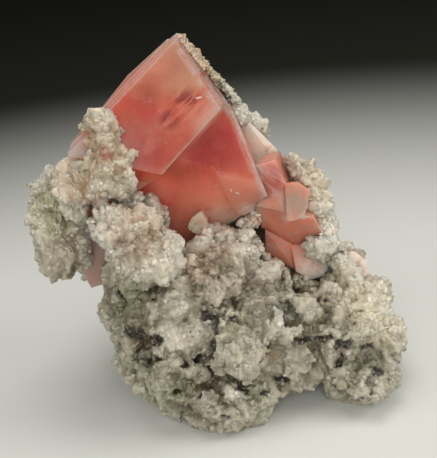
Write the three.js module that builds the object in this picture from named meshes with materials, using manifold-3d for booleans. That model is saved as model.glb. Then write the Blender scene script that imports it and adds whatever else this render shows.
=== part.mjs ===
// A fluorite specimen, about 42 mm across and 43 mm high: a coral-red fluorite octahedron on a rough
// matrix of small quartz crystals, with paler fluorite grown beside and behind it.
// Millimetres. +X is to the right, +Y is away from the viewer, +Z is up. The matrix rests on z = 0.
import * as THREE from 'three';
import { ConvexGeometry } from 'three/addons/geometries/ConvexGeometry.js';
import { ImprovedNoise } from 'three/addons/math/ImprovedNoise.js';
import { MeshSurfaceSampler } from 'three/addons/math/MeshSurfaceSampler.js';
import { mergeVertices } from 'three/addons/utils/BufferGeometryUtils.js';
import Module from 'manifold-3d';

const wasm = await Module();
wasm.setup();

// ---------------------------------------------------------------- driving dimensions
const gap = 0.3;                  // clear space between a crystal and the matrix round it
const octahedronCentre = [-4.8, 2.5, 29.3];
const octahedronTurn = [0.4, 18.5, -135.5];   // degrees about X, Y and Z
const frontDistance = 8.5;        // centre of the octahedron to its upper front face
const leftDistance = 9.4;
const rightDistance = 9.1;
const crustedDistance = 7.4;      // to the face behind, which carries a crust of quartz
const stepDepth = 1.9;            // from the raised upper plate down to the sunken face
const lowerDistance = 5.05;       // to the face below the sunken one
const lowerLean = 0.35;           // how far that face leans towards the front face's direction
const lowerLayer = 0.85;          // thickness of the lighter layer at its lower right corner
const lumpRoughness = 1.3;        // how far the noise moves a lump's skin
const broadBumps = 6.5;           // widths of the broad, the middle and the fine bumps on it
const middleBumps = 2.6;
const fineBumps = 0.9;
const largeLump = 6.3;            // a lump with a longer half size is a large one
const closeCorners = 0.02;        // two corners nearer than this are one
const quartzCount = 29;
const quartzSmall = 0.7;          // radius of the smallest and the largest quartz crystals
const quartzLarge = 1.15;
const quartzLowest = 2.5;         // no quartz crystal stands below this height
const crustThickness = 1.1;       // quartz crust on the back of the octahedron, gap included
const crustFoot = 32;             // heights of that crust's lower and upper edges
const crustTop = 41.2;
const belowFloor = 20;            // depth of the block that trims the feet flat

const matrixRoughness = 0.8;
const crystalRoughness = 0.3;
const colours = {
  matrix: 0xcfc9bb,
  coral: 0xc9605a,
  salmon: 0xcf7b6e,
  palePink: 0xdcbcb4,
  mauve: 0xc09a9c,
};

// ---------------------------------------------------------------- solids
function solidOf(geometry) {
  const plain = geometry.clone();
  plain.deleteAttribute('normal');
  plain.deleteAttribute('uv');
  const welded = mergeVertices(plain, 1e-4);
  return new wasm.Manifold(new wasm.Mesh({
    numProp: 3,
    vertProperties: new Float32Array(welded.attributes.position.array),
    triVerts: new Uint32Array(welded.index.array),
  }));
}

function geometryOf(solid) {
  const mesh = solid.getMesh();
  const geometry = new THREE.BufferGeometry();
  geometry.setAttribute('position', new THREE.Float32BufferAttribute(mesh.vertProperties, 3));
  geometry.setIndex(new THREE.Uint32BufferAttribute(mesh.triVerts, 1));
  geometry.computeVertexNormals();
  return geometry;
}

function joined(solids) {
  return solids.reduce((whole, next) => whole.add(next));
}

function hullOf(corners) {
  return solidOf(new ConvexGeometry(corners));
}

// The hull of the corners after each has moved outward: the socket that a crystal sits in.
function socketOf(corners) {
  const reach = gap * Math.sqrt(3);
  const moved = [];
  for (const corner of corners) {
    for (const axis of ['x', 'y', 'z']) {
      for (const side of [-reach, reach]) {
        const point = corner.clone();
        point[axis] += side;
        moved.push(point);
      }
    }
  }
  return hullOf(moved);
}

// ---------------------------------------------------------------- crystals
const centre = new THREE.Vector3(...octahedronCentre);
const turn = new THREE.Euler(...octahedronTurn.map(THREE.MathUtils.degToRad));

// The eight faces of an octahedron look along the diagonals of a cube.
function diagonal(x, y, z) {
  return new THREE.Vector3(x, y, z).normalize().applyEuler(turn);
}

function tilted(x, y, z) {
  return new THREE.Vector3(x, y, z).normalize();
}

const lowerDirection = diagonal(1, 1, -1).addScaledVector(diagonal(1, 1, 1), lowerLean);

// Distance of a leaning lower face that keeps the edge it would share with the front face.
function leaningDistance(distance, frontFaceDistance) {
  return (distance + lowerLean * frontFaceDistance) / lowerDirection.length();
}

const directions = {
  front: diagonal(1, 1, 1),
  left: diagonal(1, -1, 1),
  right: diagonal(-1, 1, 1),
  below: diagonal(1, 1, -1),
  lowerFront: lowerDirection.clone().normalize(),
  rear: diagonal(-1, -1, -1),
  lowerRight: diagonal(-1, 1, -1),
  lowerLeft: diagonal(1, -1, -1),
  above: diagonal(-1, -1, 1),
  // the worn bevel along the top right edge, and the broken faces behind
  worn: tilted(0.79, -0.24, 0.57),
  crusted: tilted(0.78, 0.45, 0.44),
  upperBack: tilted(-0.25, 0.83, 0.5),
  leftBack: tilted(-0.85, 0.3, 0.23),
  up: tilted(0, 0, 1),
  down: tilted(0, 0, -1),
};

// Each face is a direction and its distance from the octahedron's centre. A distance below zero
// puts the face on the other side of the centre.
function facesAt(distances) {
  return Object.entries(distances).map(([name, distance]) => (
    { direction: directions[name], distance }
  ));
}

// Corners of the convex crystal that lies inside every face of the list.
function cornersInside(faces) {
  const corners = [];
  const slack = 1e-6;
  for (let i = 0; i < faces.length; i += 1) {
    for (let j = i + 1; j < faces.length; j += 1) {
      for (let k = j + 1; k < faces.length; k += 1) {
        const [a, b, c] = [faces[i], faces[j], faces[k]];
        const bc = b.direction.clone().cross(c.direction);
        const volume = a.direction.dot(bc);
        if (Math.abs(volume) > slack) {
          const corner = bc.multiplyScalar(a.distance)
            .addScaledVector(c.direction.clone().cross(a.direction), b.distance)
            .addScaledVector(a.direction.clone().cross(b.direction), c.distance)
            .divideScalar(volume);
          if (faces.every((one) => one.direction.dot(corner) <= one.distance + slack)) {
            corner.add(centre);
            if (corners.every((other) => other.distanceTo(corner) > closeCorners)) {
              corners.push(corner);
            }
          }
        }
      }
    }
  }
  return corners;
}

// A block of crystal with a flat front, given by its corners, that runs back along a direction.
function block(frontCorners, run) {
  const corners = frontCorners.map((place) => new THREE.Vector3(...place));
  const back = corners.map((corner) => corner.clone().add(new THREE.Vector3(...run)));
  return [...corners, ...back];
}

const mainFaces = facesAt({
  front: frontDistance - stepDepth,
  left: leftDistance + 0.4,
  right: rightDistance,
  lowerFront: leaningDistance(lowerDistance, frontDistance - stepDepth),
  rear: 7.5,
  lowerRight: 10.6,
  lowerLeft: 9.0,
  above: 9.7,
  worn: 9.7,
  upperBack: 7.5,
  leftBack: 6.7,
  crusted: crustedDistance,
});
const mainBody = cornersInside(mainFaces);
// The raised plate that makes up the upper left of the front face.
const upperPlate = cornersInside(facesAt({
  front: frontDistance,
  left: leftDistance,
  right: rightDistance - 0.1,
  below: 8.4,
  rear: -5.0,
  lowerRight: -0.63,
  lowerLeft: 9.0,
  above: 8.6,
  worn: 9.6,
}));
// A thinner step between the plate and the frosted left edge.
const edgeStep = cornersInside(facesAt({
  front: frontDistance - 0.9,
  left: leftDistance + 0.2,
  right: rightDistance - 0.2,
  below: 7.6,
  rear: -5.2,
  lowerRight: -2.0,
  lowerLeft: 8.8,
  above: 8.9,
  worn: 9.5,
}));
// The lighter raised layer at the lower right corner.
const lowerStep = cornersInside(facesAt({
  front: frontDistance - stepDepth - 0.1,
  right: rightDistance - 0.1,
  lowerLeft: -4.75,
  lowerFront: leaningDistance(lowerDistance + lowerLayer, frontDistance - stepDepth - 0.1),
  above: -2.0,
  lowerRight: 10.2,
}));
const lensFlake = block([
  [2.3, -3.9, 22.6], [3.4, -4.3, 23.3], [4.7, -4.3, 23.6], [4.5, -4.0, 23.0], [3.2, -3.7, 22.1],
], [0.2, 3.0, 1.2]);

const rightUpper = block([
  [5.4, -2.6, 27.9], [7.6, -0.7, 27.6], [8.7, -1.9, 24.6], [8.2, -3.6, 21.9], [5.3, -4.3, 23.1],
], [1.2, 7.0, -1.0]);
const rightMiddle = block([
  [4.8, -3.6, 23.0], [8.0, -3.2, 21.0], [11.4, -3.6, 20.9], [12.3, -2.4, 18.7], [12.6, -0.6, 16.0],
  [8.8, -0.6, 16.5], [7.2, -1.6, 18.7], [5.2, -1.9, 19.7],
], [0.6, 6.5, 0.4]);
const rightPlate = block([
  [8.4, -2.2, 25.0], [9.9, -1.9, 24.9], [11.2, -2.2, 23.9], [10.8, -3.4, 22.3], [10.2, -4.0, 21.5],
  [8.9, -4.5, 21.1], [8.1, -4.4, 21.2],
], [0.3, 2.4, -0.6]);
const rightLower = block([
  [8.6, -1.7, 16.9], [12.3, -1.5, 16.0], [13.3, -2.2, 14.3], [12.0, -3.3, 13.0], [10.6, -3.7, 13.0],
  [8.8, -3.3, 14.0],
], [-0.6, 6.5, 0.6]);
const rightWedge = block([
  [5.6, -2.6, 19.6], [8.6, -1.7, 17.0], [9.0, -1.6, 13.4], [6.7, -0.8, 14.6], [5.3, -1.2, 16.4],
], [0.4, 6.0, 0.4]);

const palePlate = block([
  [3.8, 8.0, 32.4], [6.8, 6.6, 28.9], [8.6, 6.0, 26.7], [8.0, 5.4, 25.9], [5.8, 5.6, 24.4],
  [3.6, 7.0, 25.0],
], [-0.6, 4.5, -1.2]);

const leftUpper = block([
  [-18.4, -0.6, 29.9], [-17.0, -1.8, 30.1], [-14.2, -2.4, 27.6], [-13.2, -2.6, 24.0],
  [-14.2, -2.4, 20.6], [-16.6, -1.6, 24.0],
], [1.4, 5.5, -1.0]);
const leftLower = block([
  [-15.6, -1.9, 22.0], [-13.4, -2.2, 20.0], [-14.9, -1.2, 14.3], [-16.5, -1.0, 13.9],
  [-17.2, -1.2, 16.4],
], [0.8, 5.0, 0.6]);

const roundedPale = block([
  [14.9, -2.0, 15.3], [16.2, -2.6, 15.5], [17.6, -2.4, 14.0], [17.8, -2.4, 12.2], [16.0, -3.2, 11.6],
  [14.6, -2.9, 12.7],
], [0.2, 3.4, -1.3]);

const crystals = [
  {
    name: 'fluorite_main',
    colour: colours.coral,
    blocks: [mainBody, upperPlate, edgeStep, lowerStep, lensFlake],
  },
  {
    name: 'fluorite_right',
    colour: colours.salmon,
    blocks: [rightUpper, rightMiddle, rightPlate, rightLower, rightWedge],
  },
  { name: 'fluorite_back', colour: colours.palePink, blocks: [palePlate] },
  { name: 'fluorite_left', colour: colours.mauve, blocks: [leftUpper, leftLower] },
  { name: 'fluorite_low_right', colour: colours.palePink, blocks: [roundedPale] },
];

// ---------------------------------------------------------------- matrix
// Each lump is an ellipsoid: its centre and its half sizes along X, Y and Z.
const lumps = [
  // middle and feet
  [[-1.4, 0.0, 9.9], [10.6, 10.0, 9.0]],
  [[-3.6, 9.0, 7.4], [9.4, 7.2, 8.6]],
  [[-0.9, -10.3, 3.1], [6.2, 6.2, 4.8]],
  [[0.1, -8.0, 7.6], [8.0, 6.3, 6.0]],
  [[-2.4, -6.2, 15.8], [6.2, 5.6, 4.6]],
  [[-1.6, -4.6, 18.0], [4.6, 3.4, 3.0]],
  [[3.6, -5.0, 12.8], [5.2, 5.6, 4.4]],
  [[2.4, -3.4, 17.6], [2.7, 3.3, 2.6]],
  [[-7.0, -9.0, 12.4], [4.2, 4.0, 4.6]],
  [[-6.2, -10.6, 6.0], [4.2, 4.0, 4.2]],
  [[6.2, -9.2, 9.4], [4.2, 4.0, 4.4]],
  [[7.0, 9.4, 4.4], [6.5, 6.0, 5.0]],
  [[-7.2, 10.4, 3.8], [5.0, 4.6, 4.6]],
  // right end
  [[11.6, -5.0, 7.4], [7.4, 7.4, 5.2]],
  [[15.2, -10.2, 2.8], [3.8, 4.6, 3.6]],
  [[6.6, -8.0, 5.2], [4.6, 5.0, 4.6]],
  [[17.6, -5.0, 5.8], [3.5, 5.6, 5.0]],
  [[15.4, -2.0, 8.6], [4.6, 6.0, 3.8]],
  [[12.0, 4.4, 8.4], [6.0, 6.0, 6.0]],
  // left side, shoulder and lobe
  [[-10.4, -3.4, 10.2], [4.6, 7.6, 6.4]],
  [[-8.2, -5.6, 5.4], [4.6, 6.8, 4.4]],
  [[-11.6, -2.6, 14.6], [3.2, 5.8, 4.6]],
  [[-17.0, 1.4, 19.2], [3.4, 4.8, 3.4]],
  [[-19.0, -1.0, 21.4], [3.5, 5.6, 5.4]],
  [[-18.8, -1.4, 26.2], [3.0, 4.2, 3.1]],
  [[-12.6, 5.4, 18.6], [5.8, 5.6, 7.4]],
  // mound in front of the octahedron, and the knob over its left corner
  [[-8.9, -8.6, 20.3], [4.4, 4.0, 3.5]],
  [[-10.6, -9.4, 24.4], [3.9, 3.8, 3.2]],
  [[-11.9, -7.0, 30.0], [3.8, 3.4, 3.4]],
  [[-11.3, -6.2, 33.7], [2.7, 3.3, 3.8]],
  [[-9.9, -7.0, 30.2], [2.3, 2.9, 2.2]],
  [[-15.2, -5.0, 28.2], [2.9, 3.6, 3.0]],
  [[-9.2, -4.6, 21.0], [3.8, 3.8, 4.4]],
  // crust on the back of the octahedron
  [[-2.4, 12.0, 20.6], [8.6, 5.6, 8.6]],
  [[6.2, 10.2, 17.0], [6.4, 5.6, 8.0]],
  [[3.0, 12.4, 26.2], [4.2, 3.2, 5.0]],
  [[-8.0, 10.6, 24.0], [4.4, 3.4, 4.4]],
  [[2.8, 7.4, 32.3], [1.7, 3.0, 2.0]],
  [[4.1, 8.8, 30.6], [1.7, 3.2, 1.9]],
  [[5.2, 9.6, 28.4], [1.7, 3.2, 2.2]],
  // white crust on the right crystals
  [[11.3, 2.8, 21.2], [2.5, 4.4, 4.6]],
  [[12.1, 1.4, 16.8], [3.0, 4.6, 4.4]],
  [[9.8, 2.6, 25.0], [2.2, 3.2, 2.3]],
  [[14.0, -1.0, 12.6], [2.7, 3.8, 2.6]],
];

// Caves and clefts that open to the outside, as ellipsoids that are taken away.
const hollows = [
  [[-9.4, -11.2, 9.4], [2.0, 2.6, 1.4]],
  [[0.9, -14.2, 13.0], [1.5, 2.4, 1.2]],
  [[-0.4, -15.0, 7.6], [1.3, 2.2, 1.6]],
  [[9.4, -12.6, 6.8], [2.2, 2.4, 1.0]],
  [[15.4, -14.0, 4.4], [1.4, 1.6, 1.2]],
  [[6.6, -11.6, 12.0], [1.2, 2.4, 1.0]],
  [[4.8, -6.0, 19.3], [1.7, 3.4, 1.2]],
  [[7.0, -7.4, 14.6], [3.2, 3.4, 1.4]],
  [[-14.6, -7.0, 25.0], [1.6, 3.6, 1.8]],
  [[7.8, -13.0, 0.0], [3.6, 4.4, 1.6]],
];

const noise = new ImprovedNoise();

function noiseAt(point, width) {
  return noise.noise(point.x / width, point.y / width, point.z / width);
}

// An ellipsoid whose skin the noise moves in and out. Large ones get more triangles and broad
// bumps too.
function lumpSolid([[x, y, z], [halfX, halfY, halfZ]], plainest) {
  const large = Math.max(halfX, halfY, halfZ) > largeLump;
  const detail = plainest + (large ? 1 : 0);
  const geometry = new THREE.IcosahedronGeometry(1, detail);
  const position = geometry.attributes.position;
  const outward = new THREE.Vector3();
  const point = new THREE.Vector3();
  for (let i = 0; i < position.count; i += 1) {
    outward.fromBufferAttribute(position, i);
    point.set(outward.x * halfX + x, outward.y * halfY + y, outward.z * halfZ + z);
    const bump = (large ? 2 * noiseAt(point, broadBumps) : 0)
      + noiseAt(point, middleBumps) + noiseAt(point, fineBumps);
    point.addScaledVector(outward, lumpRoughness * bump);
    position.setXYZ(i, point.x, point.y, point.z);
  }
  return solidOf(geometry);
}

// Repeatable random numbers from 0 to 1.
function randomFrom(seed) {
  let state = seed;
  return () => {
    state = (state * 1664525 + 1013904223) % 4294967296;
    return state / 4294967296;
  };
}

// Stout six-sided quartz crystals that stand on the skin of the matrix.
function quartzOn(solid) {
  const random = randomFrom(11);
  const skin = geometryOf(solid).toNonIndexed();
  skin.computeVertexNormals();
  const sampler = new MeshSurfaceSampler(new THREE.Mesh(skin)).setRandomGenerator(random).build();
  const place = new THREE.Vector3();
  const normal = new THREE.Vector3();
  const points = [];
  while (points.length < quartzCount) {
    sampler.sample(place, normal);
    const radius = THREE.MathUtils.lerp(quartzSmall, quartzLarge, random() ** 2);
    const lean = new THREE.Vector3(random() - 0.5, random() - 0.5, random() - 0.5);
    if (place.z > quartzLowest) {
      const geometry = new THREE.CylinderGeometry(0.55 * radius, radius, 1.8 * radius, 6, 1);
      const direction = normal.clone().add(lean).normalize();
      const upright = new THREE.Vector3(0, 1, 0);
      geometry.applyQuaternion(new THREE.Quaternion().setFromUnitVectors(upright, direction));
      geometry.translate(place.x, place.y, place.z);
      points.push(solidOf(geometry));
    }
  }
  return points;
}

// A sheet of quartz crust over the upper part of the crusted face behind the octahedron.
function crustSheet() {
  const direction = directions.crusted;
  const bounds = facesAt({ down: centre.z - crustFoot, up: crustTop - centre.z });
  const height = (corner) => corner.clone().sub(centre).dot(direction);
  const onFace = cornersInside([...mainFaces, ...bounds]).filter(
    (corner) => Math.abs(height(corner) - crustedDistance) < closeCorners,
  );
  const outer = onFace.map((corner) => corner.clone().addScaledVector(direction, crustThickness));
  const inner = onFace.map((corner) => corner.clone().addScaledVector(direction, -crustThickness));
  return hullOf([...outer, ...inner]);
}

function matrixSolid() {
  let rock = joined(lumps.map((lump) => lumpSolid(lump, 1))).add(crustSheet());
  for (const hollow of hollows) {
    rock = rock.subtract(lumpSolid(hollow, 0));
  }
  rock = rock.add(joined(quartzOn(rock)));
  const floor = new THREE.BoxGeometry(100, 100, belowFloor);
  floor.translate(0, 0, -belowFloor / 2);
  rock = rock.subtract(solidOf(floor));
  for (const crystal of crystals) {
    for (const corners of crystal.blocks) {
      rock = rock.subtract(socketOf(corners));
    }
  }
  return largestPiece(rock);
}

// The cuts can leave crumbs: only the rock itself is kept.
function largestPiece(solid) {
  const pieces = solid.decompose();
  return pieces.reduce((best, next) => (next.volume() > best.volume() ? next : best));
}

// ---------------------------------------------------------------- scene graph
function meshOf(name, solid, colour, roughness) {
  const material = new THREE.MeshStandardMaterial({ color: colour, roughness, metalness: 0 });
  material.name = name;
  const mesh = new THREE.Mesh(geometryOf(solid), material);
  mesh.name = name;
  return mesh;
}

const specimen = new THREE.Group();
specimen.name = 'fluorite_specimen';
specimen.add(meshOf('matrix', matrixSolid(), colours.matrix, matrixRoughness));
crystals.forEach((crystal, place) => {
  let solid = joined(crystal.blocks.map(hullOf));
  for (const earlier of crystals.slice(0, place)) {
    for (const corners of earlier.blocks) {
      solid = solid.subtract(socketOf(corners));
    }
  }
  specimen.add(meshOf(crystal.name, largestPiece(solid), crystal.colour, crystalRoughness));
});

// The origin is the middle of the resting face.
const middle = new THREE.Box3().setFromObject(specimen).getCenter(new THREE.Vector3());
specimen.position.set(-middle.x, -middle.y, 0);

export default specimen;
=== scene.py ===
"""A fluorite specimen: a coral octahedron and paler fluorite on a matrix of small quartz crystals.

Lengths are written in millimetres and multiplied by MM, because the scene is in metres.
"""
import math
from contextlib import contextmanager

import bmesh
import bpy
import numpy as np
from mathutils import Matrix, Vector, noise
from mathutils.bvhtree import BVHTree


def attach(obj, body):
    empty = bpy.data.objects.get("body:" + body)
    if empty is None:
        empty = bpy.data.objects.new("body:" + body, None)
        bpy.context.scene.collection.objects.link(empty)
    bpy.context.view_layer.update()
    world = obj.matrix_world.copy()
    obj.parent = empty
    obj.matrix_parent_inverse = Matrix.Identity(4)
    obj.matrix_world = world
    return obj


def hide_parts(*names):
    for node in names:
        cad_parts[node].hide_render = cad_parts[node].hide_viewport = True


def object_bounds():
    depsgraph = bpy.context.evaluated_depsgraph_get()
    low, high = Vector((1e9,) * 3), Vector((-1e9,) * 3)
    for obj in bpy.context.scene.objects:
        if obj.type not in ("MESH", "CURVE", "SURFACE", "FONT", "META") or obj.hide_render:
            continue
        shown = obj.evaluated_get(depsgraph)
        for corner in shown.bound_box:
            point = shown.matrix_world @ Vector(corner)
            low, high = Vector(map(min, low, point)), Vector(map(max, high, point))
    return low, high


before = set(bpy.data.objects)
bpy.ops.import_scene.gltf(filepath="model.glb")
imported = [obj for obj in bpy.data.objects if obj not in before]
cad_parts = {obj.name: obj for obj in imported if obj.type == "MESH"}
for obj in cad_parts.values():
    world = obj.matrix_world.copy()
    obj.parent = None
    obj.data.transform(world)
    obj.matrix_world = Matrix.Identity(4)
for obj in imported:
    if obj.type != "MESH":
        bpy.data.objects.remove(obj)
cad_low, cad_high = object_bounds()
noise.seed_set(4)  # so that noise_vector gives the same in every run

MM = 0.001
FLOOR_HEIGHT = 0.0

# ---------------- directions of the octahedron
OCTAHEDRON_CENTRE = Vector((-4.53, 1.41, 29.3))
OCTAHEDRON_TURN = [math.radians(angle) for angle in (0.4, 18.5, -135.5)]


def diagonal(x, y, z):
    """A face direction of the octahedron: a diagonal of the turned cube."""
    turn = Matrix.Identity(3)
    for angle, axis in zip(OCTAHEDRON_TURN, "XYZ"):
        turn = turn @ Matrix.Rotation(angle, 3, axis)
    return turn @ Vector((x, y, z)).normalized()


FRONT = diagonal(1, 1, 1)
LEFT = diagonal(1, -1, 1)
RIGHT = diagonal(-1, 1, 1)
LOWER = (diagonal(1, 1, -1) + 0.35 * FRONT).normalized()  # below the ridge, leans forward
WORN = Vector((0.79, -0.24, 0.57)).normalized()
STEP_EDGE = Vector((-4.6, -3.3, -3.4)).normalized()
CRUSTED = Vector((0.78, 0.45, 0.44)).normalized()
CRUST_HEIGHT = 8.5  # from the octahedron's centre to the skin of the crust


# ---------------- camera
CAMERA_PLACE = Vector((0.27, -104.53, 58.81)) * MM
CAMERA_TILT = 20.85  # degrees below the horizon
CAMERA_ROLL = -6.43
CAMERA_LENS = 70.9  # on a 36 mm sensor
CAMERA_CLIP = (0.01, 20.0)  # nearest and furthest thing it shows, in metres


def make_camera():
    data = bpy.data.cameras.new("camera")
    data.lens = CAMERA_LENS
    data.clip_start, data.clip_end = CAMERA_CLIP
    aim = Matrix.Rotation(math.radians(90 - CAMERA_TILT), 4, "X")
    roll = Matrix.Rotation(math.radians(CAMERA_ROLL), 4, "Z")
    camera = new_object("camera", data)
    camera.matrix_world = Matrix.Translation(CAMERA_PLACE) @ aim @ roll
    bpy.context.scene.camera = camera


# ---------------- light and floor
LIGHTS = {
    # name: (place in mm, edge in mm, watts, colour)
    "top_light": ((10, 30, 330), 240, 0.48, (1.0, 0.98, 0.95)),
    "left_light": ((-260, -60, 170), 180, 0.2, (1.0, 0.99, 0.97)),
    "right_light": ((270, -30, 190), 180, 0.46, (1.0, 0.98, 0.95)),
    "front_light": ((0, -310, 125), 240, 0.72, (1.0, 0.99, 0.97)),
}
LIGHT_TARGET = Vector((0, 0, 20)) * MM
WORLD_GREY = 0.22
FLOOR_RADIUS = 3000
FLOOR_PALE = (0.64, 0.648, 0.61, 1.0)
# painted shade: the floor darkens away from the middle, as though the light fell off there
FLOOR_FAR_SHADE = (0.02, 0.02, 0.016, 1.0)
FLOOR_PALE_TO = 22  # mm from the middle, where the painted shade on the floor starts
FLOOR_DARK_FROM = 200


def make_lights():
    for name, (place, edge, watts, colour) in LIGHTS.items():
        data = bpy.data.lights.new(name, "AREA")
        data.shape = "SQUARE"
        data.size = edge * MM
        data.energy = watts
        data.color = colour
        light = new_object(name, data)
        light.location = Vector(place) * MM
        aim = LIGHT_TARGET - light.location
        light.rotation_euler = aim.to_track_quat("-Z", "Y").to_euler()
    world = bpy.data.worlds.new("world")
    world.use_nodes = True
    background = world.node_tree.nodes["Background"]
    background.inputs["Color"].default_value = (WORLD_GREY, WORLD_GREY, WORLD_GREY, 1.0)
    bpy.context.scene.world = world


# ---------------- node helpers
DRIFT_WIDTH = 1 / 0.35  # width of the waves in the borders of the zones
DRIFT_REACH = 1.5  # how far the waves may move a border


def linear(red, green, blue):
    """A colour from the 0 to 255 scale, as the shader wants it."""
    def one(value):
        share = value / 255
        return share / 12.92 if share <= 0.04045 else ((share + 0.055) / 1.055) ** 2.4
    return (one(red), one(green), one(blue), 1.0)


class Shader:
    """A small helper that adds nodes to one material."""

    def __init__(self, name):
        self.material = bpy.data.materials.new(name)
        self.material.use_nodes = True
        self.nodes = self.material.node_tree.nodes
        self.links = self.material.node_tree.links
        coordinates = self.new("TexCoord").outputs["Object"]
        self.place = self.vector("MULTIPLY", coordinates, (1 / MM,) * 3)  # in millimetres

    def put(self, socket, value):
        """Links or sets a socket. A colour of three numbers is one from the 0 to 255 scale."""
        if isinstance(value, bpy.types.NodeSocket):
            self.links.new(value, socket)
        elif socket.type == "RGBA" and len(value) == 3:
            socket.default_value = linear(*value)
        else:
            socket.default_value = value

    def fill(self, node, **values):
        """Links or sets inputs of a node. In their names, _ stands for a space."""
        for name, value in values.items():
            self.put(node.inputs[name.replace("_", " ")], value)
        return node

    def new(self, kind, **values):
        return self.fill(self.nodes.new("ShaderNode" + kind), **values)

    def set(self, **values):
        self.fill(self.nodes["Principled BSDF"], **values)

    def math(self, operation, first, second=0.0):
        node = self.new("Math")
        node.operation = operation
        self.put(node.inputs[0], first)
        self.put(node.inputs[1], second)
        return node.outputs[0]

    def times(self, first, second):
        return self.math("MULTIPLY", first, second)

    def vector(self, operation, *values):
        node = self.new("VectorMath")
        node.operation = operation
        for socket, value in zip(node.inputs, values):
            self.put(socket, value)
        return node.outputs["Value" if operation in ("DISTANCE", "DOT_PRODUCT") else "Vector"]

    def cloud(self, width, detail=3.0, rough=0.55, warp=0.0, place=None, output="Fac"):
        """Noise from 0 to 1 with bumps of that width in millimetres."""
        node = self.new("TexNoise", Vector=place or self.place, Scale=1 / width, Detail=detail,
                        Roughness=rough, Distortion=warp)
        return node.outputs[output]

    def ramp(self, value, low, high, start=0.0, end=1.0):
        """Goes smoothly from start to end as the value goes from low to high."""
        node = self.new("MapRange", Value=value, From_Min=low, From_Max=high, To_Min=start,
                        To_Max=end)
        node.interpolation_type = "SMOOTHSTEP"
        return node.outputs["Result"]

    def mix(self, share, first, second, blend="MIX"):
        node = self.new("Mix")
        node.data_type = "RGBA"
        node.blend_type = blend
        self.put(node.inputs["Factor"], share)
        self.put(node.inputs[6], first)
        self.put(node.inputs[7], second)
        return node.outputs[2]

    def tinted(self, colour, tint, mask, share):
        """The colour, turned towards the tint by that share where the mask is 1."""
        return self.mix(self.times(mask, share), colour, tint)

    def near(self, centre, radius, soft=0.5, place=None):
        """1 at the centre, in millimetres, falling to 0 at the radius."""
        away = self.vector("DISTANCE", place or self.place, centre)
        return self.ramp(away, radius * soft, radius, 1.0, 0.0)

    def along(self, direction):
        """How far the point lies along a direction, in millimetres."""
        return self.vector("DOT_PRODUCT", self.place, Vector(direction).normalized())

    def warped(self):
        """The place, moved about a little, so that zones get uneven borders."""
        drift = self.cloud(DRIFT_WIDTH, 3.0, 0.5, output="Color")
        moved = self.vector("MULTIPLY_ADD", drift, (2 * DRIFT_REACH,) * 3, (-DRIFT_REACH,) * 3)
        return self.vector("ADD", self.place, moved)

    def zoned(self, colour, zones, soft, place, patchy=1.0):
        """The colour with round zones of other colours."""
        for centre, radius, share, tint in zones:
            mask = self.times(self.near(centre, radius, soft, place), share)
            colour = self.tinted(colour, tint, mask, patchy)
        return colour

    def streaks(self, lengthwise, across, long, wide, detail=3.0):
        """Noise drawn out along one direction, with streaks that long and wide in millimetres."""
        third = Vector(lengthwise).cross(Vector(across))
        node = self.new("CombineXYZ")
        for socket, direction, width in zip(
                node.inputs, (lengthwise, across, third), (long, wide, wide)):
            self.put(socket, self.math("DIVIDE", self.along(direction), width))
        return self.cloud(1.0, detail, place=node.outputs[0])

    def value(self, name, output="Fac"):
        node = self.new("Attribute")
        node.attribute_name = name
        return node.outputs[output]

    def geometry(self, output):
        return self.new("NewGeometry").outputs[output]

    def softened(self, name, share):
        """The normal, turned by a share towards the direction stored under a name."""
        stored = self.vector("MULTIPLY", self.value(name, "Vector"), (share,) * 3)
        own = self.vector("MULTIPLY", self.geometry("Normal"), (1 - share,) * 3)
        return self.vector("NORMALIZE", self.vector("ADD", stored, own))

    def facets(self, width, tilt):
        """A normal that tilts from each small crystal face to the next, and a number for each."""
        face = self.new("TexVoronoi", Vector=self.place, Scale=1 / width).outputs["Color"]
        tilted = self.vector("MULTIPLY_ADD", face, (2 * tilt,) * 3, (-tilt,) * 3)
        total = self.vector("ADD", tilted, self.geometry("Normal"))
        return self.vector("NORMALIZE", total), self.ramp(face, 0.0, 1.0)

    def bump(self, height, distance, strength, under=None):
        node = self.new("Bump", Height=height, Distance=distance, Strength=strength)
        if under is not None:
            self.put(node.inputs["Normal"], under)
        return node.outputs["Normal"]


# ---------------- mesh helpers
JOIN_DISTANCE = 1e-7  # corners this close, in metres, are one corner
JUST_OFF = 0.02  # a point this far from a skin lies clearly on one side of it


def new_object(name, data):
    made = bpy.data.objects.new(name, data)
    bpy.context.scene.collection.objects.link(made)
    return made


@contextmanager
def edited(data):
    """A mesh, opened for bmesh operations."""
    mesh = bmesh.new()
    mesh.from_mesh(data)
    yield mesh
    mesh.to_mesh(data)
    mesh.free()


def copied_node(name, new_name):
    """A copy of a CAD node's mesh with its shared corners joined."""
    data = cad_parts[name].data.copy()
    data.name = new_name
    data.materials.clear()
    with edited(data) as mesh:
        bmesh.ops.remove_doubles(mesh, verts=mesh.verts, dist=JOIN_DISTANCE)
    return new_object(new_name, data)


def tree_of(name):
    """A search tree of a CAD node's skin."""
    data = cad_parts[name].data
    return BVHTree.FromPolygons([corner.co for corner in data.vertices],
                                [face.vertices for face in data.polygons])


def apply_modifiers(piece):
    depsgraph = bpy.context.evaluated_depsgraph_get()
    data = bpy.data.meshes.new_from_object(piece.evaluated_get(depsgraph))
    old = piece.data
    piece.modifiers.clear()
    piece.data = data
    data.name = old.name
    bpy.data.meshes.remove(old)


def numbers_of(items, name, columns, kind=np.float32):
    """One property of all the corners, edges or triangles of a mesh."""
    values = np.zeros(len(items) * columns, kind)
    items.foreach_get(name, values)
    return values.reshape(-1, columns)


def corners_of(data):
    return numbers_of(data.vertices, "co", 3).astype(float)


def normals_of(data):
    return numbers_of(data.vertices, "normal", 3).astype(float)


def edges_of(data):
    return numbers_of(data.edges, "vertices", 2, np.int32)


def triangles_of(data):
    data.calc_loop_triangles()
    return numbers_of(data.loop_triangles, "vertices", 3, np.int32)


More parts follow.
